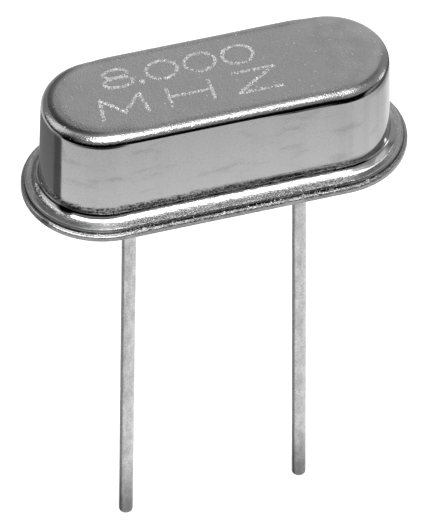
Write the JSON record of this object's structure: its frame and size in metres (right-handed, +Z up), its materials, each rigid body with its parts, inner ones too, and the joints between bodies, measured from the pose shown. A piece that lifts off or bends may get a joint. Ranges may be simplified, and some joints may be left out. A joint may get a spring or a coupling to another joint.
{
  "type": "crystal oscillator",
  "caption": "Quartz crystal resonator in a low oval metal can with a welded flange and wire leads for a circuit board.",
  "frame": {"origin": "centre of the base's underside, which seats on the circuit board", "axes": "+Z up through the can, away from the leads; +X along the can, from lead to lead; +Y across it"},
  "size_m": [0.011, 0.0044, 0.0165],
  "materials": {
    "can": "polished",
    "base": "satin",
    "seal_glass": "gloss",
    "lead_wire": "satin",
    "clip_strip": "satin",
    "quartz": "gloss",
    "film": "satin",
    "adhesive": "matte"
  },
  "bodies": {
    "root": {"can": "can", "base": "base", "glass_seal_left": "seal_glass", "glass_seal_right": "seal_glass", "lead_left": "lead_wire", "lead_right": "lead_wire", "clip_left": "clip_strip", "clip_right": "clip_strip", "quartz_blank": "quartz", "electrode_top": "film", "electrode_bottom": "film", "adhesive_left": "adhesive", "adhesive_right": "adhesive"}
  },
  "joints": []
}
